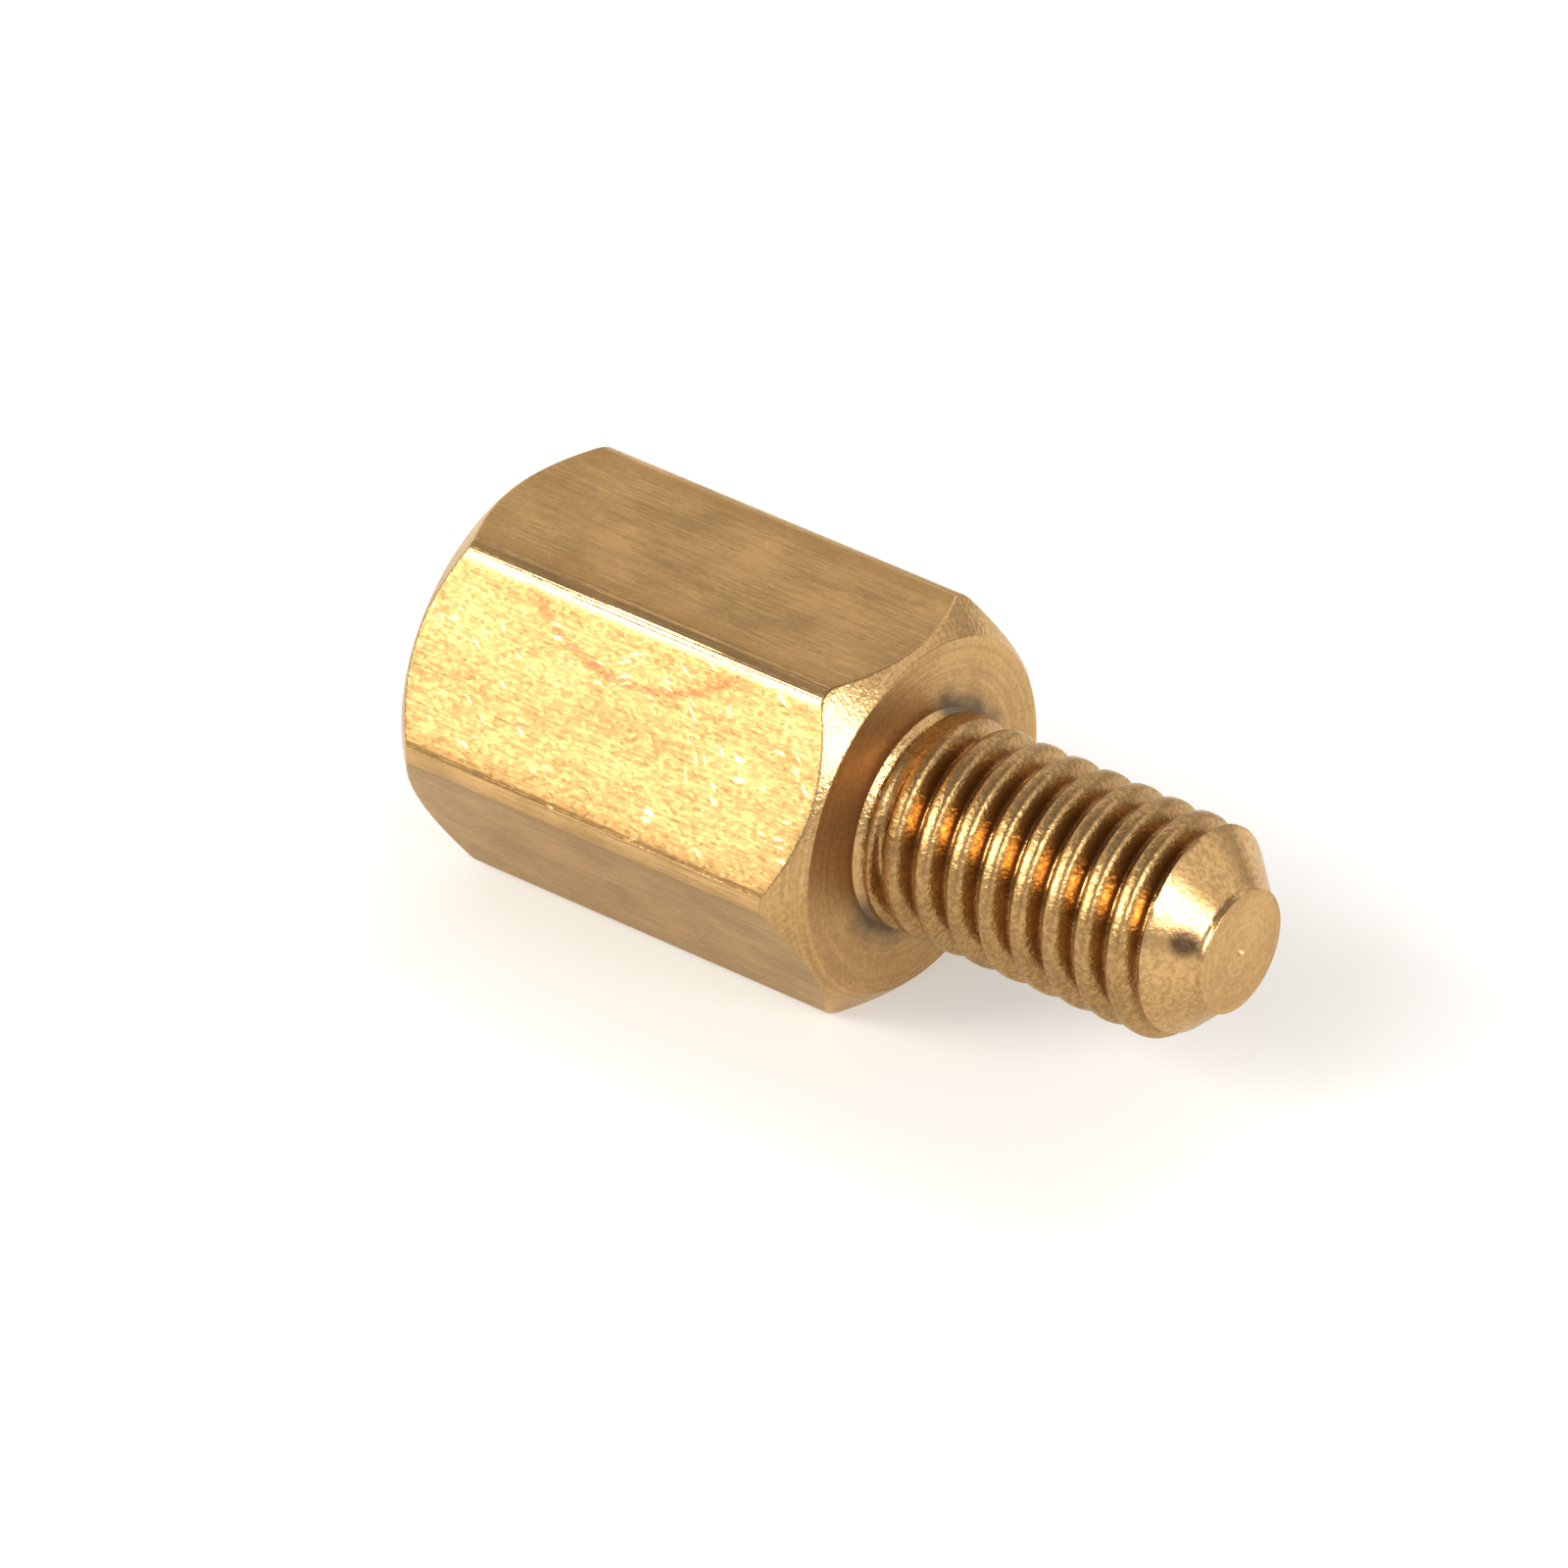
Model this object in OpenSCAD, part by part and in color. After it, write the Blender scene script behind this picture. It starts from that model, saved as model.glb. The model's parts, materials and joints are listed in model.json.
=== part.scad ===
// Male-female hex standoff, turned in one piece from drawn hexagonal brass bar.
// It lies on one of its flats. +X runs along its axis and out of the stud, and +Z is up.
// The origin is on the resting flat, halfway along the whole length. Sizes are in millimetres.

/* [Hex body] */
// Width of the bar across its flats
across_flats = 5; // [4.5:0.1:8]
// How far the bar's six long corners are rounded off, towards the axis
corner_break = 0.06; // [0.02:0.01:0.15]
// Length of the hexagonal body, from the open end to the shoulder
body_length = 6.5; // [6:0.5:40]

/* [Turned ends] */
// Angle of the chamfers on the hexagon's corners, measured from the end faces
chamfer_angle = 45; // [25:1:50]
// How far the shoulder's turned rim lies inside the flats
shoulder_inset = 0.1; // [0.05:0.01:0.2]
// How far the open end's turned rim lies inside the flats
end_inset = 0.05; // [0.03:0.01:0.2]

/* [Stud] */
// Diameter of the stud over its thread
stud_d = 2.94; // [2:0.02:3.9]
// Length of the stud, from the shoulder to the tip
stud_length = 5; // [3:0.5:20]
// Leg of the 45 degree chamfer that leads the tip into a nut
tip_chamfer = 0.63; // [0.3:0.01:0.9]
// Length of the narrow rim that the chamfer leaves round the tip's face
tip_land = 0.09; // [0.03:0.01:0.2]

/* [Tapped hole] */
// Diameter drilled for the tap
hole_d = 2.5; // [1.6:0.05:3]
// Depth of the hole at its full diameter, from the open end
hole_depth = 4.5; // [3:0.1:5.5]
// Included angle of the drill point that the hole ends in
drill_point_angle = 118; // [90:1:140]
// Diameter of the countersunk mouth
mouth_d = 3.2; // [3.1:0.05:4]
// Included angle of the countersunk mouth
mouth_angle = 90; // [60:1:120]

/* [Hidden] */
$fn = 96;

// How far a cutting or joining shape runs past the face that it works on
overrun = 0.5;

hex_sides = 6;
half_side_angle = 180 / hex_sides;
sharp_corner_r = across_flats / 2 / cos(half_side_angle);
corner_r = sharp_corner_r - corner_break;

shoulder_r = across_flats / 2 - shoulder_inset;
end_r = across_flats / 2 - end_inset;
// Lengths along the axis that the chamfers take from the corners
shoulder_chamfer = (corner_r - shoulder_r) * tan(chamfer_angle);
end_chamfer = (corner_r - end_r) * tan(chamfer_angle);

stud_r = stud_d / 2;
tip_x = body_length + stud_length;

hole_r = hole_d / 2;
drill_point_depth = hole_r / tan(drill_point_angle / 2);
mouth_depth = (mouth_d / 2 - hole_r) / tan(mouth_angle / 2);
mouth_overrun_r = mouth_d / 2 + overrun * tan(mouth_angle / 2);

// Bar stock with sharp corners, longer than the body at both ends
module bar() {
    translate([0, 0, -overrun])
        rotate(half_side_angle)
            cylinder(r = sharp_corner_r, h = body_length + 2 * overrun, $fn = hex_sides);
}

// Round outline of the body: the corners' diameter, with a chamfer and a flat face at each end
module turned_outline() {
    rotate_extrude()
        polygon([
            [0, 0],
            [end_r, 0],
            [corner_r, end_chamfer],
            [corner_r, body_length - shoulder_chamfer],
            [shoulder_r, body_length],
            [0, body_length]
        ]);
}

// Hexagonal body: each flat runs out in an arc where a chamfer crosses it
module hex_body() {
    intersection() {
        bar();
        turned_outline();
    }
}

// Stud at its thread's outside diameter, rooted in the body and chamfered at the tip
module stud() {
    rotate_extrude()
        polygon([
            [0, body_length - overrun],
            [stud_r, body_length - overrun],
            [stud_r, tip_x - tip_land - tip_chamfer],
            [stud_r - tip_chamfer, tip_x - tip_land],
            [stud_r - tip_chamfer, tip_x],
            [0, tip_x]
        ]);
}

// Blind hole at the tap drill's diameter, with its countersunk mouth and drill point
module tapped_hole() {
    rotate_extrude()
        polygon([
            [0, -overrun],
            [mouth_overrun_r, -overrun],
            [hole_r, mouth_depth],
            [hole_r, hole_depth],
            [0, hole_depth + drill_point_depth]
        ]);
}

// The whole piece, laid along +X on a flat
module standoff() {
    color("#c9a552")
        translate([-tip_x / 2, 0, across_flats / 2])
            rotate([0, 90, 0])
                difference() {
                    union() {
                        hex_body();
                        stud();
                    }
                    tapped_hole();
                }
}

standoff();
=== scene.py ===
"""Finished looks of a turned brass hex standoff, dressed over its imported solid, on a pale studio floor."""

import json
import math
from typing import NamedTuple

import bpy
from bpy.props import FloatProperty, FloatVectorProperty, PointerProperty
from mathutils import Matrix, Vector


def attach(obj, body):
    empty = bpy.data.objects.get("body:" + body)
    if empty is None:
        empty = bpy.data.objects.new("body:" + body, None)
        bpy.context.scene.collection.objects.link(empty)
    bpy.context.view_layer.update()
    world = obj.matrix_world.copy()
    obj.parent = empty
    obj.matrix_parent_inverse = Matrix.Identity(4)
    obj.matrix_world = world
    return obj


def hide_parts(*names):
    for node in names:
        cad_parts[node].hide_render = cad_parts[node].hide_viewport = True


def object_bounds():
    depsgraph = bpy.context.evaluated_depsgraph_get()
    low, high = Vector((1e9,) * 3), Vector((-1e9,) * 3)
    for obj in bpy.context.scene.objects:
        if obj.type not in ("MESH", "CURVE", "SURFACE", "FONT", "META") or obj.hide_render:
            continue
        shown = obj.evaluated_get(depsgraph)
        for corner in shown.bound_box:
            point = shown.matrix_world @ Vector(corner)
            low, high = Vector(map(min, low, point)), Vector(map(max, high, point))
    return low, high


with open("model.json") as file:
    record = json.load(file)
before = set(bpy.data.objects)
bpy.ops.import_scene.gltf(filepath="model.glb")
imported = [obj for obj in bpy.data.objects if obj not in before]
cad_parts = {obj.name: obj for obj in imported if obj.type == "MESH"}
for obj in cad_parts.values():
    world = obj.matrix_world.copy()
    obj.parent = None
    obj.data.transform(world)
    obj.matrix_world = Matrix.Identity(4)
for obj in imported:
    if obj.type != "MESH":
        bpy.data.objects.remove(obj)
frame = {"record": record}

bl_info = {
    "name": "Brass Hex Standoff",
    "version": (1, 0, 0),
    "blender": (4, 5, 0),
    "location": "View3D > Sidebar > Standoff",
    "description": "Builds a threaded brass hex standoff and the pale stage it lies on",
    "category": "Add Mesh",
}

MM = 0.001
NODE = "standoff"
BODY = "root"
PIECE = "brass_standoff"

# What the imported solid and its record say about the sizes.
SOLID_LOW, SOLID_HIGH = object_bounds()
MOUNTS = {mount["name"]: mount for mount in frame["record"]["mounts"]}
STUD = MOUNTS["stud"]
HOLE = MOUNTS["tapped_hole"]
SHOULDER_X = STUD["pos_m"][0]
AXIS_HEIGHT = STUD["pos_m"][2]

# How finely the piece is meshed: columns round it, rows to each turn of thread, and rows along other bands.
HEX_SIDES = 6
SECTOR = math.tau / HEX_SIDES
COLUMNS = HEX_SIDES * 32
TURN_ROWS = 20
BORE_TURN_ROWS = 12
FLAT_ROWS = 14
FACE_ROWS = 10
CHAMFER_ROWS = 5
COLLAR_ROWS = 6
ROUND_ROWS = 4
POINT_ROWS = 6
# Share of the columns that stand on the flats, and share that stands on the flats' inner part.
# The inner part's reach is a share of the angle to the rounded corner.
FLAT_COLUMNS = 0.5
INNER_COLUMNS = 0.375
INNER_REACH = 0.88
# Rims that lie closer than the weld are joined, and edges that turn more than the crease stay hard.
WELD = 1e-7
CREASE = math.radians(38)

# Shape of the threads: slope of the flanks, and how much of its depth the tap's groove has at its flat root.
FLANK_SLOPE = 1 / math.tan(math.radians(30))
TAPPED_ROOT = 0.92
# How far the groove is lifted out of the brass where its run-out starts, in groove depths.
RUN_OUT_LIFT = 1.8
# How steeply the stud's skin may fall from the foot of its collar.
FOOT_FALL = 2
# Depth of the dimple at the middle of the tip, in its radii.
DOT_DEPTH = 0.95

# The finish that each face carries, for the brass material to read.
FINISH = "finish"
DRAWN, TURNED, CUT, BORED, FACED = 0.0, 1.0, 2.0, 3.0, 4.0


def length(name, text, default):
    """A size in metres that a user can change."""
    return FloatProperty(
        name=name, description=text, default=default, min=0, precision=6, unit="LENGTH", subtype="DISTANCE"
    )


def share(name, text, default):
    """A number from 0 to 1 that a user can change."""
    return FloatProperty(name=name, description=text, default=default, min=0, max=1, subtype="FACTOR")


def strength(name, text, default):
    """A brightness that a user can change."""
    return FloatProperty(name=name, description=text, default=default, min=0)


def bearing(name, text, degrees):
    """An angle that a user can change."""
    return FloatProperty(name=name, description=text, default=math.radians(degrees), subtype="ANGLE")


def colour(name, text, default):
    """A colour that a user can change."""
    return FloatVectorProperty(
        name=name, description=text, default=default, size=3, min=0, max=1, subtype="COLOR"
    )


class StandoffSizes(bpy.types.PropertyGroup):
    """Sizes of the hexagonal body and the tapped hole."""

    across_flats: length("Across flats", "Width of the bar across its flats", SOLID_HIGH.z - SOLID_LOW.z)
    corner_radius: length("Corner radius", "From the axis to the bar's rounded corners", SOLID_HIGH.y)
    shoulder_inset: length("Shoulder inset", "How far the shoulder's rim lies inside the flats", 0.1 * MM)
    end_inset: length("Open end inset", "How far the open end's rim lies inside the flats", 0.05 * MM)
    edge_round: length("Edge round", "How far each turned edge is rounded off", 0.022 * MM)
    hole_radius: length("Hole radius", "Radius of the hole drilled for the tap", HOLE["dims"]["r_mm"] * MM)
    mouth_radius: length("Mouth radius", "Radius of the hole's countersunk mouth", 1.6 * MM)
    drill_point: length("Drill point", "Depth of the cone at the hole's end", 0.751 * MM)
    centre_dot: length("Centre dot", "Radius of the dimple that the tool left in the tip", 0.07 * MM)


class ThreadSizes(bpy.types.PropertyGroup):
    """Sizes of the thread on the stud and in the hole."""

    pitch: length("Pitch", "From one turn of the thread to the next", 0.5 * MM)
    crest_radius: length("Crest radius", "Radius over the stud's crests", STUD["dims"]["r_mm"] * MM)
    groove_depth: length("Groove depth", "From a crest down to the root of the groove", 0.25 * MM)
    root_width: length("Root width", "Width of the flat at the bottom of the groove", 0.05 * MM)
    crest_blend: length("Crest blend", "How softly the flanks run into the crests", 0.13 * MM)
    root_blend: length("Root blend", "How softly the flanks run into the roots", 0.05 * MM)
    collar: length("Collar", "Width of the cone where the stud leaves the shoulder", 0.11 * MM)
    collar_drop: length("Collar drop", "How far the cone falls below the thread's crests", 0.1 * MM)
    first_turn: length("First turn", "How far the first turn takes to rise from the cone's foot", 0.06 * MM)
    run_out: length("Run-out", "How far the groove takes to reach its whole depth", 0.25 * MM)
    groove_phase: length("Groove phase", "From the shoulder to the groove on the +Y side", 0.044 * MM)
    tip_radius: length("Tip radius", "Radius of the flat face at the stud's tip", 0.84 * MM)
    tip_land: length("Tip land", "Length of the narrow rim that the parting tool left at the tip", 0.09 * MM)
    tip_blend: length("Tip blend", "How softly the last turn runs into the tip's chamfer", 0.02 * MM)
    tapped_depth: length("Tapped depth", "Depth of the groove in the hole's wall", 0.25 * MM)
    tap_lead: length("Tap lead", "How far the tap's groove takes to fade out in the hole", 1.1 * MM)


class BrassFinish(bpy.types.PropertyGroup):
    """Colours and roughness of the bare brass."""

    brass: colour("Brass", "Colour of clean drawn and cut brass", (0.44, 0.262, 0.105))
    faced: colour("Faced brass", "Colour of the freshly faced ends", (0.60, 0.37, 0.16))
    dulled: colour("Dulled brass", "Colour of brass that has dulled a little", (0.265, 0.158, 0.064))
    stain: colour("Stain", "Colour of the faint reddish ring mark on one flat", (0.34, 0.115, 0.05))
    # Painted shade deep in the thread's grooves.
    root_brown: colour("Root brown", "Colour of the brass low in the thread's groove", (0.26, 0.13, 0.05))
    # Brown beside the corners: partly tarnish, partly painted shade.
    edge_brown: colour("Edge brown", "Colour of the flats beside their corners", (0.31, 0.17, 0.064))
    # Colour of darker grey patches round the stud's root.
    grime: colour("Grime", "Colour of the cutting grime round the stud's root", (0.12, 0.10, 0.08))
    # Colour of a dark patch low on the tip's chamfer.
    smudge: colour("Smudge", "Colour of the dark smudge on the tip's chamfer", (0.11, 0.06, 0.035))
    edge_tint: colour("Edge tint", "Colour of the brass seen edge on", (1.0, 0.93, 0.8))
    flat_roughness: share("Flats' roughness", "Roughness of the drawn flats", 0.30)
    turned_roughness: share("Turned roughness", "Roughness of the turned chamfers", 0.24)
    faced_roughness: share("Faced roughness", "Roughness of the faced ends", 0.42)
    thread_roughness: share("Thread roughness", "Roughness of the thread", 0.32)


class StageLooks(bpy.types.PropertyGroup):
    """Floor, lights and camera."""

    floor: colour("Floor", "Colour of the floor", (0.42, 0.42, 0.42))
    # Painted shade: the floor's glow is dimmer beside the piece than further out.
    glow: colour("Floor glow", "Light that comes up through the floor beside the piece", (0.445, 0.418, 0.38))
    far_glow: colour("Far glow", "Light that comes up through the floor further out", (0.68, 0.67, 0.65))
    surround: strength("Surround", "Brightness of the pale room round the piece", 1.15)
    left_panel: strength("Left panel", "Brightness of the soft panel at the left", 20.2)
    right_panel: strength("Right panel", "Brightness of the soft panel at the right", 11.5)
    left_tint: colour("Left tint", "Colour of the soft panel at the left", (1.0, 1.0, 0.88))
    right_tint: colour("Right tint", "Colour of the soft panel at the right", (1.0, 1.0, 1.0))
    azimuth: bearing("Azimuth", "Camera's bearing, from -Y towards +X", 38.216)
    elevation: bearing("Elevation", "Camera's height above the horizon", 34.716)
    roll: bearing("Roll", "Camera's turn about its own line of sight", -0.996)


class Wire:
    """One output of a node tree. Arithmetic on it adds Math nodes to the tree."""

    def __init__(self, bench, socket):
        self.bench = bench
        self.socket = socket

    def __add__(self, other):
        return self.bench.math("ADD", self, other)

    def __sub__(self, other):
        return self.bench.math("SUBTRACT", self, other)

    def __rsub__(self, other):
        return self.bench.math("SUBTRACT", other, self)

    def __mul__(self, other):
        return self.bench.math("MULTIPLY", self, other)

    def __truediv__(self, other):
        return self.bench.math("DIVIDE", self, other)

    def __rtruediv__(self, other):
        return self.bench.math("DIVIDE", other, self)

    def __gt__(self, other):
        return self.bench.math("GREATER_THAN", self, other)

    def __lt__(self, other):
        return self.bench.math("LESS_THAN", self, other)

    def __abs__(self):
        return self.bench.math("ABSOLUTE", self)

    __radd__ = __add__
    __rmul__ = __mul__


class Bench:
    """Adds nodes to one node tree."""

    def __init__(self, tree):
        self.tree = tree

    def node(self, kind, settings=None, sockets=None):
        """A node of that type, with its settings first and then the values or links of its sockets."""
        made = self.tree.nodes.new(kind)
        for name, value in (settings or {}).items():
            setattr(made, name, value)
        for name, value in (sockets or {}).items():
            self.feed(made, name, value)
        return made

    def feed(self, made, name, value):
        """Sets or links one input of a node, by its place or by its name."""
        if isinstance(name, int):
            socket = made.inputs[name]
        else:
            socket = next(s for s in made.inputs if s.name == name and s.enabled)
        for each in value if isinstance(value, list) else [value]:
            if isinstance(each, Wire):
                self.tree.links.new(each.socket, socket)
            else:
                socket.default_value = each

    def out(self, kind, settings=None, sockets=None, name=None):
        """The output of that name, or the first one in use, of a new node."""
        made = self.node(kind, settings, sockets)
        return Wire(self, next(s for s in made.outputs if s.enabled and name in (None, s.name)))

    def math(self, operation, *values):
        """The result of a Math node."""
        return self.out("ShaderNodeMath", {"operation": operation}, dict(enumerate(values)))

    def vector(self, x, y, z):
        """A vector from three values."""
        return self.out("ShaderNodeCombineXYZ", None, {0: x, 1: y, 2: z})

    def vector_math(self, operation, *vectors):
        """The result of a Vector Math node."""
        return self.out("ShaderNodeVectorMath", {"operation": operation}, dict(enumerate(vectors)))

    def scaled(self, vector, factor):
        """A vector made longer or shorter."""
        return self.out("ShaderNodeVectorMath", {"operation": "SCALE"}, {0: vector, "Scale": factor})

    def parts(self, vector):
        """The three values of a vector."""
        split = self.node("ShaderNodeSeparateXYZ", None, {0: vector})
        return [Wire(self, socket) for socket in split.outputs]

    def ramp(self, value, low, high, start, end):
        """Straight from start to end as the value goes from low to high, and level outside."""
        return self.out("ShaderNodeMapRange", {"clamp": True}, {0: value, 1: low, 2: high, 3: start, 4: end})

    def spread(self, value, stops):
        """A value carried through straight lines between the stops."""
        total = stops[0][1]
        for (low, start), (high, end) in zip(stops, stops[1:]):
            total = self.ramp(value, low, high, 0.0, end - start) + total
        return total

    def fade(self, value, low, high):
        """Smoothly from 0 at low to 1 at high, which may lie below low."""
        return self.out(
            "ShaderNodeMapRange", {"clamp": True, "interpolation_type": "SMOOTHSTEP"},
            {0: value, 1: low, 2: high, 3: 0.0, 4: 1.0},
        )

    def blend(self, factor, one, other):
        """A colour between two colours."""
        ends = [each if isinstance(each, Wire) else (*each, 1.0) for each in (one, other)]
        return self.out(
            "ShaderNodeMix", {"data_type": "RGBA"}, {"Factor": factor, "A": ends[0], "B": ends[1]}
        )

    def noise(self, place, scale=1.0, detail=2.0, rough=0.5):
        """Smooth noise from 0 to 1."""
        return self.out(
            "ShaderNodeTexNoise", None,
            {"Vector": place, "Scale": scale, "Detail": detail, "Roughness": rough},
        )


class StandoffTree:
    """Geometry nodes that turn, chamfer, thread and drill the standoff from its sizes.

    The skin runs from the drill point out of the hole, over the open end, along body and stud, to the tip.
    It is made of bands, each a grid of columns round the axis and rows along the skin, welded at their rims.
    """

    def __init__(self, sizes, material):
        self.tree = bpy.data.node_groups.new("Turned standoff", "GeometryNodeTree")
        self.bench = Bench(self.tree)
        self.sizes = sizes
        self.material = material
        self.values = {}
        self.keys = {}
        self.bands = []
        self.add_inputs()
        self.add_columns()
        self.add_hole()
        self.add_body()
        self.add_stud()
        self.add_end()

    def add_inputs(self):
        """One named input for each size."""
        self.tree.interface.new_socket("Geometry", in_out="OUTPUT", socket_type="NodeSocketGeometry")
        for name, value in self.sizes.items():
            socket = self.tree.interface.new_socket(name, in_out="INPUT", socket_type="NodeSocketFloat")
            socket.subtype = "DISTANCE"
            socket.default_value = value
            self.keys[name] = socket.identifier
        made = self.bench.node("NodeGroupInput")
        for name in self.sizes:
            self.values[name] = Wire(self.bench, made.outputs[name])

    def add_columns(self):
        """Where each column stands: its angle, and the hexagon's radius there."""
        bench, size = self.bench, self.values
        across, down, _ = bench.parts(bench.out("GeometryNodeInputPosition"))
        # A grid is 1 wide and 1 long, with its middle at the origin.
        self.down = down + 0.5
        turn = (across + 0.5) * HEX_SIDES
        sector = bench.math("FLOOR", turn)
        side = (turn - sector) * 2 - 1
        slant = 1 / math.cos(SECTOR / 2)
        # The angle at which a flat meets its rounded corner shares out the columns.
        half = self.sizes["across_flats"] / 2
        bend = (half * slant - self.sizes["corner_radius"]) / (slant - 1)
        meet = math.atan((half - bend) / half * math.tan(SECTOR / 2))
        stops = [(0, 0), (INNER_COLUMNS, meet * INNER_REACH), (FLAT_COLUMNS, meet), (1, SECTOR / 2)]
        lean = bench.spread(abs(side), stops)
        swing = lean * bench.math("SIGN", side)
        angle = (sector + 0.5) * SECTOR + swing
        self.turned = angle / math.tau
        self.cos = bench.math("COSINE", angle)
        self.sin = bench.math("SINE", angle)
        # The hexagon's own shape follows the inputs.
        half = size["across_flats"] / 2
        bend = (half * slant - size["corner_radius"]) / (slant - 1)
        centre = (half - bend) * slant
        rest = SECTOR / 2 - lean
        reach = centre * bench.math("SINE", rest)
        inside = bench.math("MAXIMUM", bend * bend - reach * reach, 0.0)
        corner = centre * bench.math("COSINE", rest) + bench.math("SQRT", inside)
        flat = half / bench.math("COSINE", lean)
        self.hexagon = flat + (corner - flat) * (lean > meet)

    def band(self, rows, x, radius, finish):
        """One band of skin: a grid wrapped round the axis."""
        bench = self.bench
        grid = bench.out(
            "GeometryNodeMeshGrid", None,
            {"Size X": 1.0, "Size Y": 1.0, "Vertices X": COLUMNS + 1, "Vertices Y": rows + 1},
            "Mesh",
        )
        place = bench.vector(x, radius * self.cos, radius * self.sin + AXIS_HEIGHT)
        skin = bench.out("GeometryNodeSetPosition", None, {"Geometry": grid, "Position": place})
        self.bands.append(bench.out(
            "GeometryNodeStoreNamedAttribute", {"data_type": "FLOAT", "domain": "FACE"},
            {"Geometry": skin, "Name": FINISH, "Value": finish},
        ))

    def line(self, rows, start, end, finish):
        """A straight band between two rims, each an x and a radius, with rows crowded at both."""
        ease = self.down * self.down * (3 - self.down * 2)
        x, radius = [a + (b - a) * ease for a, b in zip(start, end)]
        self.band(rows, x, radius, finish)

    def round(self, start, corner, end, finish):
        """A rounded edge between two rims."""
        rest = 1 - self.down
        parts = [
            a * (rest * rest) + b * (rest * self.down * 2) + c * (self.down * self.down)
            for a, b, c in zip(start, corner, end)
        ]
        self.band(ROUND_ROWS, parts[0], parts[1], finish)

    def groove(self, x, phase):
        """How far a place on the skin lies from the middle of the groove, along the axis."""
        pitch = self.values["pitch"]
        return self.bench.math("PINGPONG", x - phase - self.turned * pitch, pitch / 2)

    def helix(self, start, end, turn_rows):
        """x of a band whose rows follow the thread, held between two flat rims, and its number of rows."""
        bench, pitch = self.bench, self.values["pitch"]
        turns = abs(end - start) / self.sizes["pitch"] + 1
        rows = math.ceil(turns * turn_rows)
        reach = self.down * (rows / turn_rows)
        if end > start:
            x = (reach + self.turned - 1) * pitch + start
        else:
            x = (self.turned - reach) * pitch + start
        low, high = sorted((start, end))
        return bench.math("MAXIMUM", bench.math("MINIMUM", x, high), low), rows

    def add_hole(self):
        """The drill point, the tapped wall and the countersunk mouth."""
        bench, size = self.bench, self.values
        mouth = HOLE["pos_m"][0]
        bottom = mouth + HOLE["dims"]["length_mm"] * MM
        hole = size["hole_radius"]
        none = hole * 0
        self.line(POINT_ROWS, (size["drill_point"] + bottom, none), (none + bottom, hole), BORED)
        x, rows = self.helix(bottom, SOLID_LOW.x, BORE_TURN_ROWS)
        depth = size["tapped_depth"] * bench.fade(bottom - x, 0.0, size["tap_lead"])
        cut = hole + depth - self.groove(x, 0.0) * FLANK_SLOPE
        wall = bench.math("SMOOTH_MAX", hole, cut, size["root_blend"])
        wall = bench.math("MINIMUM", wall, hole + depth * TAPPED_ROOT)
        wall = bench.math("MAXIMUM", wall, hole)
        cone = hole + (mouth - x)
        self.band(rows, x, bench.math("MAXIMUM", wall, cone), BORED)

    def add_body(self):
        """The open end, both chamfers, the flats and the shoulder."""
        size = self.values
        soft = size["edge_round"]
        lean = soft * math.sqrt(0.5)
        none = soft * 0
        open_x, shoulder_x = none + SOLID_LOW.x, none + SHOULDER_X
        half = size["across_flats"] / 2
        end_rim, shoulder_rim = half - size["end_inset"], half - size["shoulder_inset"]
        # Where each chamfer leaves the hexagon: further along at the corners than on the flats.
        back = self.hexagon - end_rim + SOLID_LOW.x
        front = SHOULDER_X - (self.hexagon - shoulder_rim)
        face = (open_x, end_rim - soft)
        self.line(FACE_ROWS, (open_x, size["mouth_radius"]), face, FACED)
        rise = (open_x + lean, end_rim + lean)
        self.round(face, (open_x, end_rim), rise, TURNED)
        top = (back - lean, self.hexagon - lean)
        self.line(CHAMFER_ROWS, rise, top, TURNED)
        flat_start, flat_end = (back + soft, self.hexagon), (front - soft, self.hexagon)
        self.round(top, (back, self.hexagon), flat_start, TURNED)
        self.line(FLAT_ROWS, flat_start, flat_end, DRAWN)
        fall = (front + lean, self.hexagon - lean)
        self.round(flat_end, (front, self.hexagon), fall, TURNED)
        foot = (shoulder_x - lean, shoulder_rim + lean)
        self.line(CHAMFER_ROWS, fall, foot, TURNED)
        rim = (shoulder_x, shoulder_rim - soft)
        self.round(foot, (shoulder_x, shoulder_rim), rim, TURNED)
        self.line(FACE_ROWS, rim, (shoulder_x, size["crest_radius"]), FACED)

    def add_stud(self):
        """The threaded stud, from its collar to the tip's flat face."""
        bench, size = self.bench, self.values
        tip = SOLID_HIGH.x
        crest = size["crest_radius"]
        none = crest * 0
        start = SHOULDER_X + self.sizes["collar"]
        foot = crest - size["collar_drop"]
        self.line(COLLAR_ROWS, (none + SHOULDER_X, crest), (none + start, foot), TURNED)
        soft = self.sizes["edge_round"]
        x, rows = self.helix(start, tip - soft, TURN_ROWS)
        # The groove, lifted out of the brass where its run-out starts.
        cut = bench.ramp(x, start, size["run_out"] + start, 0.0, 1.0)
        lift = (1 - cut) * size["groove_depth"] * RUN_OUT_LIFT
        root = crest - size["groove_depth"] + lift
        away = self.groove(x - SHOULDER_X, size["groove_phase"])
        rise = root + (away - size["root_width"] / 2) * FLANK_SLOPE
        skin = bench.math("SMOOTH_MAX", root, rise, size["root_blend"])
        skin = bench.math("SMOOTH_MIN", crest, skin, size["crest_blend"])
        # The first turn, which rises from the foot of the collar.
        climb = bench.ramp(x, start, size["first_turn"] + start, foot, crest)
        skin = bench.math("SMOOTH_MIN", skin, climb, size["root_blend"])
        skin = bench.math("MAXIMUM", skin, foot - (x - start) * FOOT_FALL)
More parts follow.
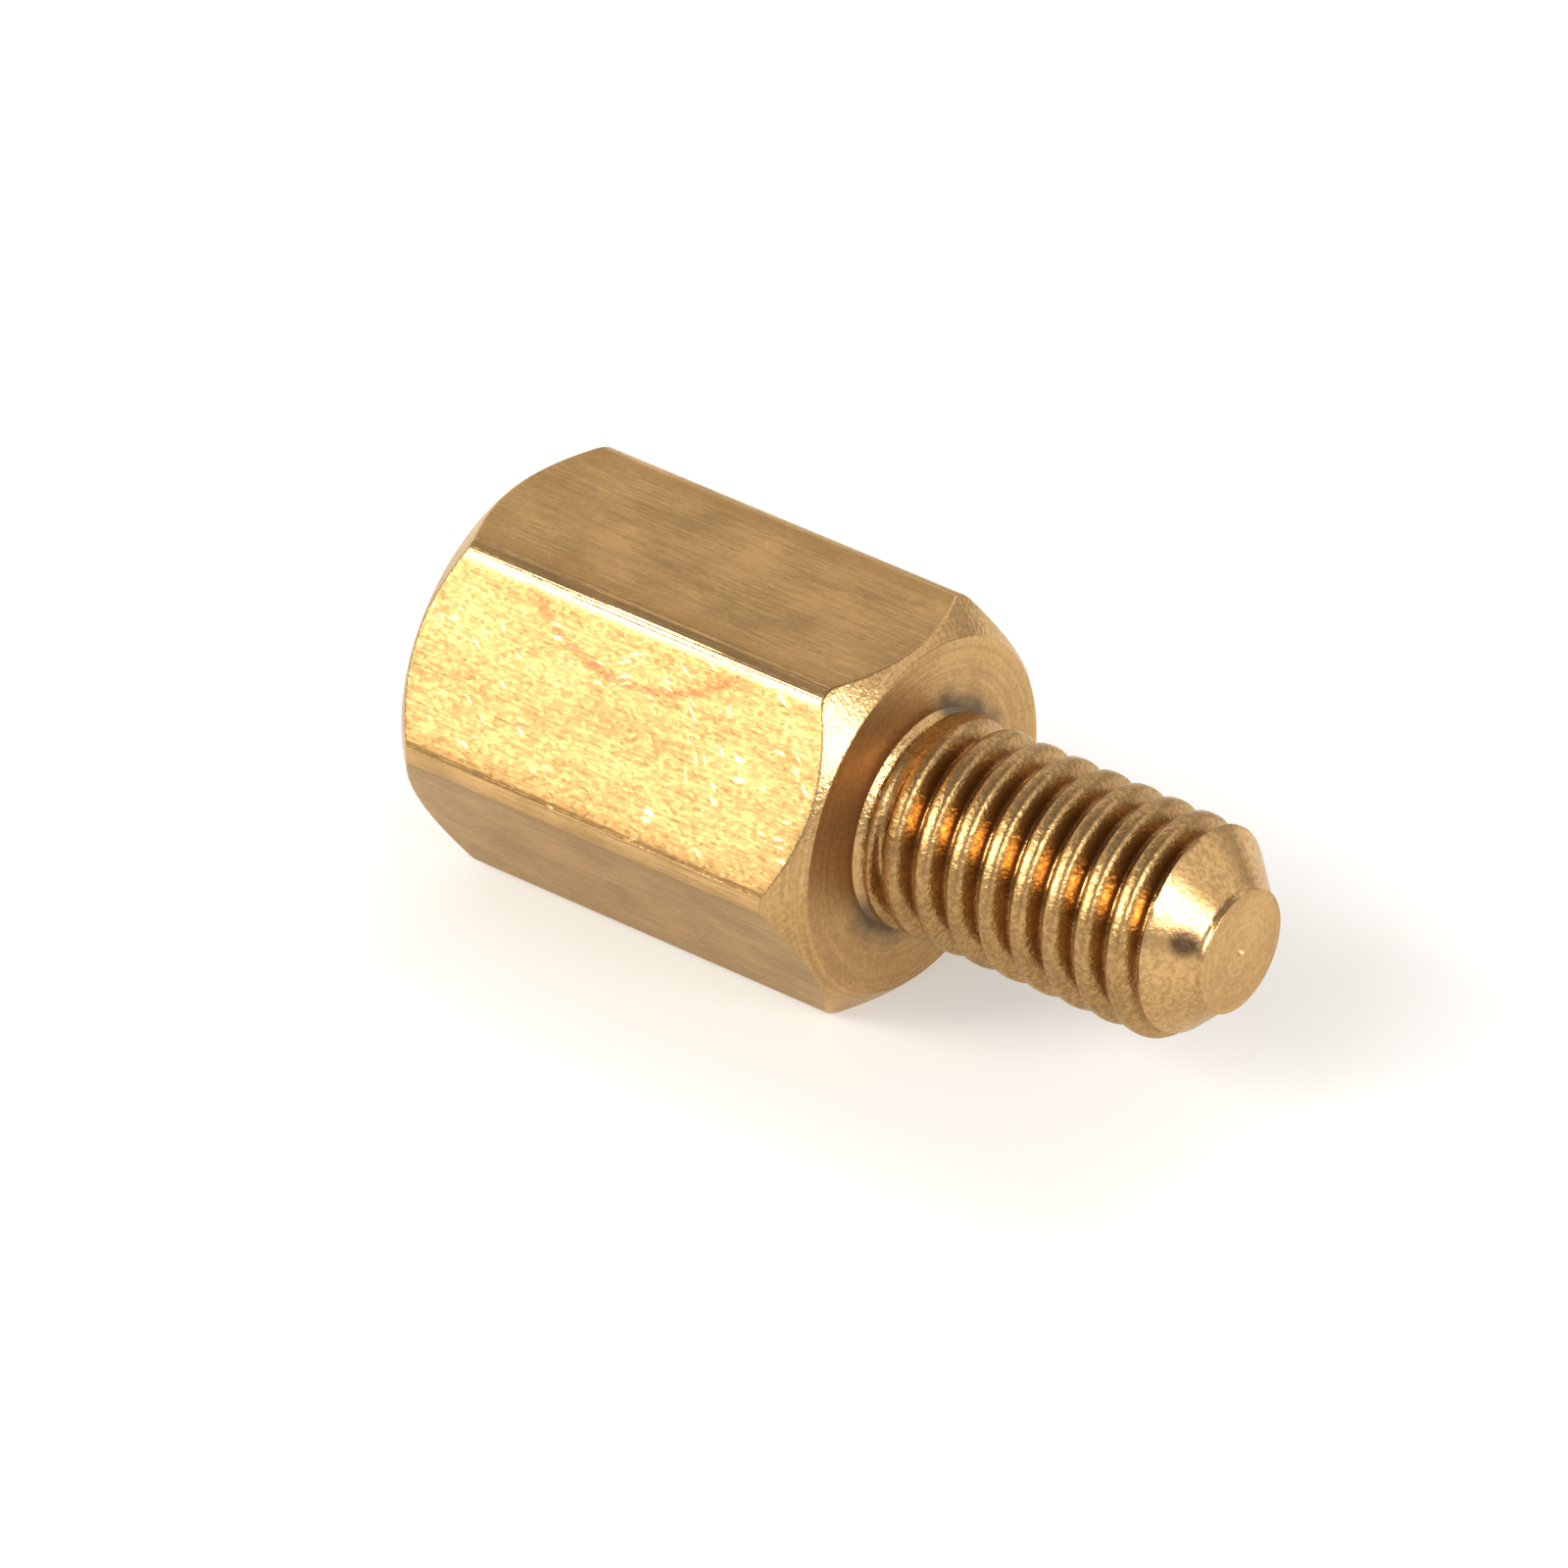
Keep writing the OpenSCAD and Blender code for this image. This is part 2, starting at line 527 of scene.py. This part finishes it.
        # The tip's chamfer and the narrow rim before its face.
        cone = size["tip_radius"] - size["tip_land"] + (tip - x)
        skin = bench.math("SMOOTH_MIN", skin, cone, size["tip_blend"])
        self.band(rows, x, bench.math("MAXIMUM", skin, size["tip_radius"]), CUT)
        rim = (none + tip, size["tip_radius"] - size["edge_round"])
        dot = (none + tip, size["centre_dot"])
        self.round((none + tip - soft, size["tip_radius"]), (none + tip, size["tip_radius"]), rim, TURNED)
        self.line(FACE_ROWS, rim, dot, FACED)
        self.line(ROUND_ROWS, dot, (tip - size["centre_dot"] * DOT_DEPTH, none), FACED)

    def add_end(self):
        """Joins and welds the bands, creases the hard edges and lays on the brass."""
        bench = self.bench
        whole = bench.out("GeometryNodeJoinGeometry", None, {"Geometry": self.bands[::-1]})
        whole = bench.out("GeometryNodeMergeByDistance", None, {"Geometry": whole, "Distance": WELD})
        whole = bench.out(
            "GeometryNodeSetShadeSmooth", {"domain": "FACE"}, {"Geometry": whole, "Shade Smooth": True}
        )
        angle = bench.out("GeometryNodeInputMeshEdgeAngle", None, None, "Unsigned Angle")
        whole = bench.out(
            "GeometryNodeSetShadeSmooth", {"domain": "EDGE"},
            {"Geometry": whole, "Selection": angle > CREASE, "Shade Smooth": False},
        )
        whole = bench.out("GeometryNodeRealizeInstances", None, {"Geometry": whole})
        whole = bench.out("GeometryNodeSetMaterial", None, {"Geometry": whole, "Material": self.material})
        bench.node("NodeGroupOutput", None, {"Geometry": whole})


class Pattern(NamedTuple):
    """A noise pattern: waves to a millimetre along and across its lines, its layers and their roughness."""

    along: float
    across: float
    layers: float
    rough: float


# Patterns drawn out along the bar, and patterns that lie evenly on the piece.
TARNISH = Pattern(along=0.7, across=2.2, layers=4.0, rough=0.65)
STREAKS = Pattern(along=1.1, across=22.0, layers=2.0, rough=0.6)
GRAIN = Pattern(along=9.0, across=18.0, layers=3.0, rough=0.7)
LINES = Pattern(along=0.2, across=40.0, layers=1.0, rough=0.5)
SPECKS = Pattern(along=15.0, across=15.0, layers=2.0, rough=0.6)
CLOUD = Pattern(along=1.1, across=1.1, layers=3.0, rough=0.55)
SWAY = Pattern(along=0.9, across=0.9, layers=0.0, rough=0.5)
FILM = Pattern(along=3.0, across=3.0, layers=2.0, rough=0.5)
# The turning marks run round the axis, so their waves along are counted to a radian.
RINGS = Pattern(along=0.6, across=14.0, layers=3.0, rough=0.6)

# Places on the brass are in millimetres from the middle of the whole length, on the axis.
# Each wander is how far a pattern moves an edge about, and each share is how far a mark hides the brass.
SHOULDER_AT = SHOULDER_X / MM
TIP_AT = SOLID_HIGH.x / MM
# Radii between which the long corners turn bright from rubbing, and the flats beside them turn brown, partly
# tarnish and partly painted shade.
RUBBED_RADII = (2.797, 2.813)
EDGE_TARNISH_SHADE_RADII = (2.66, 2.77)
EDGE_TARNISH_SHADE_WANDER = 0.12
EDGE_TARNISH_SHADE_SHARE = 0.6
# Where the stud's collar lies from the shoulder, and the tip's chamfer back from the tip.
COLLAR_SPAN = (0.002, 0.3)
NOSE_SPAN = (0.75, 0.62)
# Depths below the crests over which the thread's flanks smooth out and its roots turn brown with painted
# shade.
FLANK_DEPTHS = (0.0, 0.14)
ROOT_SHADE_DEPTHS = (0.1, 0.23)
ROOT_SHADE_WANDER = 0.06

# The facets on the drawn flats: cells to a millimetre along and across the bar, and how far they lean.
FACET_CELLS = (14.0, 26.0)
FACET_TILT = 0.046
# The ticks on the drawn flats lie in a net of cells: so many to a millimetre, slanted and swaying.
# A cell has a tick where its own number is over the chance.
TICK_CELLS = (2.1, 7.0)
TICK_SLANT = 0.4
TICK_SWAY = 1.5
TICK_CHANCE = 0.44
TICK_EDGE = (0.27, 0.05)
TICK_WANDER = 0.15
TICK_TILT = 0.12

# A ring mark on the flat that faces up and to -Y, from the rim of something that lay against it.
# Its heights are from the axis, square to that flat.
MARK_CENTRE = (-2.55, -0.685, 3.813)
MARK_RADIUS = 2.4
MARK_EDGE = (0.1, 0.02)
MARK_WANDER = 0.1
MARK_HEIGHTS = (2.48, 2.495)
MARK_BREAKS = (0.2, 0.5)
MARK_BREAK_WANDER = 0.5
MARK_SHARE = 0.8
# Darker grey patches on two sides of the corner between the shoulder and the stud.
CORNER_DARK_ANGLE = math.radians(48)
CORNER_DARK_SIDES = (0.78, 0.92)
CORNER_DARK_SIDE_WANDER = 0.3
CORNER_DARK_RADII = (1.84, 1.48)
CORNER_DARK_WANDER = 0.4
CORNER_DARK_REACH = (0.14, 0.1)
CORNER_DARK_SHARE = 0.8
# A dark patch low on the tip's chamfer.
TIP_PATCH_CENTRE = (5.55, -0.887, 0.543)
TIP_PATCH_RADII = (0.29, 0.12)
TIP_PATCH_WANDER = 0.15
TIP_PATCH_SHARE = 0.9

# How high the patterns stand on each finish, in heights of the relief.
RELIEF = 0.004 * MM
DRAWN_STREAKS = 0.2
DRAWN_GRAIN = 0.4
RUBBED_LINES = 2.0
LATHE_RINGS = 0.25
LATHE_SPECKS = 0.8
CHAMFER_SPECKS = 1.4
THREAD_SPECKS = 3.0
THREAD_GRAIN = 1.2
FLANK_SMOOTH = 0.5
NOSE_SMOOTH = 0.7

# How much each pattern has to do with the dull patches of each finish.
DULL_GRAIN = 0.2
DULL_STREAKS = 0.45
DULL_TARNISH = 0.35
DULL_RINGS = 0.5
DULL_SPECKS = 0.5
DULL_CLOUD = 0.25
DULL_EDGE = (0.4, 0.6)
DULL_SHARE = 0.85
# How fresh the brass of each finish is, and how much of the dulling that keeps off.
FRESH_LATHE = 0.75
FRESH_FACE = 0.25
FRESH_NOSE = 0.75
FRESH_RUBBED = 0.9
FRESH_KEEPS = 0.4

# How much the patterns and marks change the roughness.
GRAIN_ROUGHNESS = 0.1
SPECK_ROUGHNESS = 0.25
CLOUD_ROUGHNESS = 0.08
CORNER_DARK_MATT = 0.2
TICK_POLISH = 0.08
FLANK_POLISH = 0.12
NOSE_POLISH = 0.05
RUBBED_POLISH = 0.14


def new_material(name):
    """A material with no nodes yet, and the bench to add them at."""
    material = bpy.data.materials.new(name)
    material.use_nodes = True
    material.node_tree.nodes.clear()
    return material, Bench(material.node_tree)


def swing(pattern, reach):
    """A pattern that swings evenly to both sides of nothing."""
    return (pattern - 0.5) * reach


class BrassSkin:
    """Bare brass: streaked on the drawn flats, ringed on the turned faces and finely torn on the thread."""

    def __init__(self, finish, thread):
        self.finish = finish
        self.material, self.bench = new_material("Bare brass")
        self.find_places()
        self.find_finishes(thread)
        self.find_patterns()
        self.find_ticks()
        self.find_grime()
        shader = self.bench.out(
            "ShaderNodeBsdfPrincipled", None,
            {
                "Base Color": self.colour(), "Metallic": 1.0, "Roughness": self.roughness(),
                "Normal": self.normal(), "Specular Tint": (*finish.edge_tint, 1.0),
            },
        )
        self.bench.node("ShaderNodeOutputMaterial", None, {"Surface": shader})

    def find_places(self):
        """Where a place lies, along the axis and round it."""
        bench = self.bench
        place = bench.out("ShaderNodeTexCoord", None, None, "Object")
        place = bench.vector_math("SUBTRACT", place, (0, 0, AXIS_HEIGHT))
        self.place = bench.scaled(place, 1 / MM)
        self.x, self.y, self.z = bench.parts(self.place)
        self.radius = bench.math("SQRT", self.y * self.y + self.z * self.z)
        self.angle = bench.math("ARCTAN2", self.z, self.y)
        self.girth = self.angle * (AXIS_HEIGHT / MM)

    def find_finishes(self, thread):
        """Which finish a place has, and which part of that finish it lies on."""
        bench = self.bench
        kind = bench.out("ShaderNodeAttribute", {"attribute_name": FINISH}, None, "Fac")
        self.drawn, self.turned, self.cut, self.faced = [
            (kind > each - 0.5) * (kind < each + 0.5) for each in (DRAWN, TURNED, CUT, FACED)
        ]
        self.lathe = 1 - self.drawn - self.cut
        self.rubbed = bench.fade(self.radius, *RUBBED_RADII) * self.drawn
        past = self.x - SHOULDER_AT
        self.collar = self.turned * (past > COLLAR_SPAN[0]) * (past < COLLAR_SPAN[1])
        # The tip's chamfer cuts the thread down, so depth in the groove is measured from the chamfer there.
        chamfer = TIP_AT + (thread.tip_radius - thread.tip_land) / MM - self.x
        self.depth = bench.math("MINIMUM", chamfer, thread.crest_radius / MM) - self.radius
        self.flank = bench.fade(self.depth, *FLANK_DEPTHS) * self.cut
        self.nose = bench.fade(TIP_AT - self.x, *NOSE_SPAN) * self.cut

    def drawn_out(self, along, across):
        """Coordinates for a pattern drawn out along the bar."""
        return self.bench.vector(self.x * along, self.y * across, self.z * across)

    def noise(self, pattern):
        """A noise pattern laid over the piece."""
        place = self.drawn_out(pattern.along, pattern.across)
        return self.bench.noise(place, detail=pattern.layers, rough=pattern.rough)

    def find_patterns(self):
        """The noise patterns that are used more than once."""
        self.tarnish = self.noise(TARNISH)
        self.streaks = self.noise(STREAKS)
        self.grain = self.noise(GRAIN)
        self.specks = self.noise(SPECKS)
        self.cloud = self.noise(CLOUD)
        out, back = self.radius + self.x, self.radius - self.x
        place = self.bench.vector(out * RINGS.across, back * RINGS.across, self.angle * RINGS.along)
        self.rings = self.bench.noise(place, detail=RINGS.layers, rough=RINGS.rough)

    def find_ticks(self):
        """Short ticks in some of the cells of a slanted and swaying net on the drawn flats."""
        bench = self.bench
        along = self.x + self.girth * TICK_SLANT
        across = self.girth - self.x * TICK_SLANT + self.noise(SWAY) * TICK_SWAY
        place = bench.vector(along * TICK_CELLS[0], across * TICK_CELLS[1], 0.0)
        cells = bench.node("ShaderNodeTexVoronoi", None, {"Vector": place, "Scale": 1.0})
        chosen = Wire(bench, cells.outputs["Color"]) > TICK_CHANCE
        away = Wire(bench, cells.outputs["Distance"]) + swing(self.specks, TICK_WANDER)
        self.tick = bench.fade(away, *TICK_EDGE) * chosen

    def find_grime(self):
        """Darker grey patches in the corner between the shoulder and the stud."""
        bench = self.bench
        side = abs(bench.math("COSINE", self.angle - CORNER_DARK_ANGLE))
        caught = bench.fade(side + swing(self.cloud, CORNER_DARK_SIDE_WANDER), *CORNER_DARK_SIDES)
        caught = caught * bench.fade(self.radius + swing(self.noise(FILM), CORNER_DARK_WANDER), *CORNER_DARK_RADII)
        self.caught = caught * bench.fade(abs(self.x - SHOULDER_AT), *CORNER_DARK_REACH)

    def normal(self):
        """The normal, leant by the facets and ticks of the drawn flats and raised by the patterns."""
        bench = self.bench
        facets = bench.out(
            "ShaderNodeTexVoronoi", None, {"Vector": self.drawn_out(*FACET_CELLS), "Scale": 1.0}, "Color"
        )
        lean = bench.vector_math("SUBTRACT", facets, (0.5, 0.5, 0.5))
        lean = bench.scaled(lean, self.drawn * FACET_TILT)
        lean = bench.vector_math("ADD", lean, bench.vector(0.0, 0.0, self.drawn * self.tick * TICK_TILT))
        normal = bench.out("ShaderNodeNewGeometry", None, None, "Normal")
        normal = bench.vector_math("NORMALIZE", bench.vector_math("ADD", normal, lean))
        scored = self.rubbed * self.noise(LINES) * RUBBED_LINES
        torn = self.cut - self.flank * FLANK_SMOOTH - self.nose * NOSE_SMOOTH
        height = (
            self.drawn * (self.streaks * DRAWN_STREAKS + self.grain * DRAWN_GRAIN + scored)
            + self.lathe * (self.rings * LATHE_RINGS + self.specks * LATHE_SPECKS)
            + (self.turned + self.collar) * self.specks * CHAMFER_SPECKS
            + torn * (self.specks * THREAD_SPECKS + self.grain * THREAD_GRAIN)
        )
        return bench.out(
            "ShaderNodeBump", None, {"Strength": 1.0, "Distance": RELIEF, "Height": height, "Normal": normal}
        )

    def colour(self):
        """The colour of the brass, with its dull patches, its marks, painted shade in the thread's roots, and
        tarnish with painted shade beside the corners.
        """
        bench, finish = self.bench, self.finish
        mottle = (
            self.drawn * (self.grain * DULL_GRAIN + self.streaks * DULL_STREAKS + self.tarnish * DULL_TARNISH)
            + self.lathe * (self.rings * DULL_RINGS + self.specks * DULL_SPECKS) + self.cut * self.specks
        )
        dull = bench.fade(mottle * (1 - DULL_CLOUD) + self.cloud * DULL_CLOUD, *DULL_EDGE)
        fresh = (
            self.lathe * FRESH_LATHE + self.faced * FRESH_FACE
            + self.nose * FRESH_NOSE + self.rubbed * FRESH_RUBBED
        )
        base = bench.blend(fresh, finish.brass, finish.faced)
        base = bench.blend(dull * (DULL_SHARE - fresh * FRESH_KEEPS), base, finish.dulled)
        # The flats stay browner beside their corners: partly tarnish, partly painted shade.
        beside = bench.fade(self.radius + swing(self.tarnish, EDGE_TARNISH_SHADE_WANDER), *EDGE_TARNISH_SHADE_RADII)
        beside = beside * (1 - self.rubbed) * self.drawn
        base = bench.blend(beside * EDGE_TARNISH_SHADE_SHARE, base, finish.edge_brown)
        # The thread darkens towards its roots: painted shade deep in the grooves.
        low = bench.fade(self.depth + swing(self.specks, ROOT_SHADE_WANDER), *ROOT_SHADE_DEPTHS) * self.cut
        base = bench.blend(low, base, finish.root_brown)
        base = bench.blend(self.ring_mark() * MARK_SHARE, base, finish.stain)
        # Darker grey patches on two sides of the corner round the stud's root.
        base = bench.blend(self.caught * CORNER_DARK_SHARE, base, finish.grime)
        # A dark patch low on the tip's chamfer.
        away = bench.vector_math("DISTANCE", self.place, TIP_PATCH_CENTRE)
        smudge = bench.fade(away + swing(self.specks, TIP_PATCH_WANDER), *TIP_PATCH_RADII)
        return bench.blend(smudge * TIP_PATCH_SHARE, base, finish.smudge)

    def ring_mark(self):
        """The ring mark, broken up, and only on its own flat."""
        bench = self.bench
        away = bench.vector_math("DISTANCE", self.place, MARK_CENTRE)
        ring = bench.fade(abs(away - MARK_RADIUS) + swing(self.grain, MARK_WANDER), *MARK_EDGE)
        out = self.z * math.sin(SECTOR / 2) - self.y * math.cos(SECTOR / 2)
        ring = ring * bench.fade(out, *MARK_HEIGHTS)
        return ring * bench.fade(self.cloud + swing(self.specks, MARK_BREAK_WANDER), *MARK_BREAKS)

    def roughness(self):
        """The roughness of each finish, with its patterns and marks."""
        finish = self.finish
        flats = finish.flat_roughness + swing(self.grain, GRAIN_ROUGHNESS) - self.tick * TICK_POLISH
        thread = swing(self.specks, SPECK_ROUGHNESS) + finish.thread_roughness
        thread = thread - self.flank * FLANK_POLISH - self.nose * NOSE_POLISH
        return (
            self.drawn * flats + self.cut * thread
            + (self.lathe - self.faced) * finish.turned_roughness + self.faced * finish.faced_roughness
            + swing(self.cloud, CLOUD_ROUGHNESS) + self.caught * CORNER_DARK_MATT - self.rubbed * RUBBED_POLISH
        )


# How far from the piece the floor's glow reaches its whole strength; nearer in it is dimmer, as painted
# shade.
GLOW_SHADE_REACH = 4.5 * MM
# How far inside the piece's two ends the glow starts to rise out of its painted shade.
GLOW_SHADE_INSET = 1.2 * MM
# The floor's faint unevenness: waves to a metre, its strength, and how bright its dark places stay.
FLOOR_WAVES = 30.0
FLOOR_CLOUD = 0.5
FLOOR_SHADE = 0.985
FLOOR_ROUGHNESS = 0.7
FLOOR_SHINE = 0.2


def floor_material(looks):
    """Matt pale floor, a little uneven, glowing as if lit from below, its glow dimmed near the piece as
    painted shade.
    """
    material, bench = new_material("Pale floor")
    place = bench.out("ShaderNodeTexCoord", None, None, "Object")
    x, y, _ = bench.parts(place)
    past_end = bench.math("MAXIMUM", abs(x) - (SOLID_HIGH.x - GLOW_SHADE_INSET), 0.0)
    past_side = bench.math("MAXIMUM", abs(y) - AXIS_HEIGHT, 0.0)
    away = bench.math("SQRT", past_end * past_end + past_side * past_side)
    # Painted shade on the floor: its glow is dimmer near the piece.
    glow = bench.blend(bench.fade(away, 0.0, GLOW_SHADE_REACH), looks.glow, looks.far_glow)
    shaded = [part * FLOOR_SHADE for part in looks.floor]
    base = bench.blend(bench.noise(place, FLOOR_WAVES) * FLOOR_CLOUD, looks.floor, shaded)
    shader = bench.out(
        "ShaderNodeBsdfPrincipled", None,
        {
            "Base Color": base, "Roughness": FLOOR_ROUGHNESS, "Specular IOR Level": FLOOR_SHINE,
            "Emission Color": glow, "Emission Strength": 1.0,
        },
    )
    bench.node("ShaderNodeOutputMaterial", None, {"Surface": shader})
    return material


class STANDOFF_OT_turn_brass(bpy.types.Operator):
    """Turn the brass standoff from its sizes and set it in place of the plain solid"""

    bl_idname = "standoff.turn_brass"
    bl_label = "Turn the brass standoff"

    def execute(self, context):
        scene = context.scene
        skin = BrassSkin(scene.standoff_finish, scene.standoff_thread)
        sizes = {}
        for group in (scene.standoff_sizes, scene.standoff_thread):
            for name in group.__annotations__:
                sizes[name] = getattr(group, name)
        made = StandoffTree(sizes, skin.material)
        piece = bpy.data.objects.new(PIECE, bpy.data.meshes.new(PIECE))
        scene.collection.objects.link(piece)
        modifier = piece.modifiers.new("Turned standoff", "NODES")
        modifier.node_group = made.tree
        for name, value in sizes.items():
            modifier[made.keys[name]] = value
        graph = context.evaluated_depsgraph_get()
        mesh = bpy.data.meshes.new_from_object(piece.evaluated_get(graph))
        if not mesh.polygons:
            raise RuntimeError("the geometry nodes made no skin for the standoff")
        piece.modifiers.clear()
        piece.data = mesh
        mesh.name = PIECE
        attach(piece, BODY)
        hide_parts(NODE)
        return {"FINISHED"}


# Directions from the piece to the upper and lower ends of the two soft panels.
# The panels' widths are shares of their distance.
LEFT_FROM, LEFT_TO = (-0.515, -0.536, 0.669), (-0.515, -0.778, 0.358)
RIGHT_FROM, RIGHT_TO = (0.815, -0.01, 0.579), (0.857, -0.407, 0.318)
LEFT_WIDTH = 0.35
RIGHT_WIDTH = 0.3
PANEL_DISTANCE = 0.4


def soft_panel(scene, name, ends, width, brightness, tint):
    """A flat soft light that faces the piece and reaches from one direction to another."""
    first, last = [Vector(end).normalized() for end in ends]
    way = (first + last).normalized()
    light = bpy.data.lights.new(name, "AREA")
    light.shape = "RECTANGLE"
    light.size = (last - first).length * PANEL_DISTANCE
    light.size_y = width * PANEL_DISTANCE
    light.energy = brightness * math.pi * light.size * light.size_y
    light.color = tint
    panel = bpy.data.objects.new(name, light)
    scene.collection.objects.link(panel)
    long = (last - first).normalized()
    turn = Matrix((long, way.cross(long), way)).transposed().to_4x4()
    panel.matrix_world = Matrix.Translation(Vector((0, 0, AXIS_HEIGHT)) + way * PANEL_DISTANCE) @ turn


# How bright the room is against its height: dim at the horizon, palest halfway up, dimmer overhead.
ROOM = [(0.0, 0.38), (0.12, 0.45), (0.35, 1.05), (0.58, 1.33), (0.74, 0.5), (1.0, 0.35)]
ROOM_TINT = (1.0, 0.985, 0.96)
# How much darker the room is low down at the front, and where that sets in towards -Y and towards the floor.
FRONT_DARK = 0.4
FRONT_SIDES = (0.1, -0.3)
FRONT_HEIGHTS = (0.28, 0.12)


def pale_room(looks):
    """The room that lights the piece from all round."""
    world = bpy.data.worlds.new("Pale room")
    world.use_nodes = True
    world.node_tree.nodes.clear()
    bench = Bench(world.node_tree)
    _, across, height = bench.parts(bench.out("ShaderNodeTexCoord", None, None, "Generated"))
    front = bench.fade(across, *FRONT_SIDES) * bench.fade(height, *FRONT_HEIGHTS)
    room = bench.spread(height, ROOM) * (1 - front * FRONT_DARK)
    shade = bench.out(
        "ShaderNodeBackground", None, {"Color": (*ROOM_TINT, 1.0), "Strength": room * looks.surround}
    )
    bench.node("ShaderNodeOutputWorld", None, {"Surface": shade})
    return world


class STANDOFF_OT_set_stage(bpy.types.Operator):
    """Lay the pale floor, hang the soft lights and stand the camera"""

    bl_idname = "standoff.set_stage"
    bl_label = "Set the stage"

    floor_width = 3.0
    camera_distance = 202.10 * MM
    pixels_per_metre = 80651.0
    frame_pixels = 1600
    # The nearest that the camera sees, as a share of its distance.
    clip_share = 0.1
    # Where the middle of the picture lies from the shoulder's centre, to the picture's right and up.
    shift_right = -1.7563 * MM
    shift_up = 0.4016 * MM

    def execute(self, context):
        scene = context.scene
        looks = scene.standoff_stage
        self.lay_floor(scene, looks)
        scene.world = pale_room(looks)
        soft_panel(scene, "left_panel", (LEFT_FROM, LEFT_TO), LEFT_WIDTH, looks.left_panel, looks.left_tint)
        soft_panel(
            scene, "right_panel", (RIGHT_FROM, RIGHT_TO), RIGHT_WIDTH, looks.right_panel, looks.right_tint
        )
        self.stand_camera(scene, looks)
        scene.view_settings.view_transform = "Standard"
        return {"FINISHED"}

    def lay_floor(self, scene, looks):
        """A flat square under the piece."""
        half = self.floor_width / 2
        corners = [(-half, -half, 0), (half, -half, 0), (half, half, 0), (-half, half, 0)]
        mesh = bpy.data.meshes.new("pale_floor")
        mesh.from_pydata(corners, [], [(0, 1, 2, 3)])
        mesh.materials.append(floor_material(looks))
        floor = bpy.data.objects.new("pale_floor", mesh)
        scene.collection.objects.link(floor)

    def stand_camera(self, scene, looks):
        """The camera, at the angle from which the piece is shown."""
        sin, cos = math.sin, math.cos
        turn, height, roll = looks.azimuth, looks.elevation, looks.roll
        back = Vector((sin(turn) * cos(height), -cos(turn) * cos(height), sin(height)))
        level = Vector((cos(turn), sin(turn), 0))
        upright = back.cross(level)
        right = level * cos(roll) + upright * sin(roll)
        up = upright * cos(roll) - level * sin(roll)
        shoulder = Vector((SHOULDER_X, 0, AXIS_HEIGHT))
        stand = shoulder + right * self.shift_right + up * self.shift_up + back * self.camera_distance
        data = bpy.data.cameras.new("photo_camera")
        data.lens = data.sensor_width * self.pixels_per_metre * self.camera_distance / self.frame_pixels
        data.clip_start = self.camera_distance * self.clip_share
        camera = bpy.data.objects.new("photo_camera", data)
        facing = Matrix((right, up, back)).transposed().to_4x4()
        camera.matrix_world = Matrix.Translation(stand) @ facing
        scene.collection.objects.link(camera)
        scene.camera = camera


class STANDOFF_PT_panel(bpy.types.Panel):
    """Sizes, finish and stage of the standoff"""

    bl_idname = "STANDOFF_PT_panel"
    bl_label = "Brass Hex Standoff"
    bl_space_type = "VIEW_3D"
    bl_region_type = "UI"
    bl_category = "Standoff"

    def draw(self, context):
        for pointer in SETTINGS:
            group = getattr(context.scene, pointer)
            column = self.layout.column(align=True)
            for name in group.__annotations__:
                column.prop(group, name)
        self.layout.operator(STANDOFF_OT_turn_brass.bl_idname)
        self.layout.operator(STANDOFF_OT_set_stage.bl_idname)


SETTINGS = {
    "standoff_sizes": StandoffSizes,
    "standoff_thread": ThreadSizes,
    "standoff_finish": BrassFinish,
    "standoff_stage": StageLooks,
}
CLASSES = (*SETTINGS.values(), STANDOFF_OT_turn_brass, STANDOFF_OT_set_stage, STANDOFF_PT_panel)


def register():
    for each in CLASSES:
        bpy.utils.register_class(each)
    for pointer, group in SETTINGS.items():
        setattr(bpy.types.Scene, pointer, PointerProperty(type=group))


def unregister():
    for pointer in SETTINGS:
        delattr(bpy.types.Scene, pointer)
    for each in reversed(CLASSES):
        bpy.utils.unregister_class(each)


def main():
    register()
    bpy.ops.standoff.turn_brass()
    bpy.ops.standoff.set_stage()


if __name__ == "__main__":
    main()
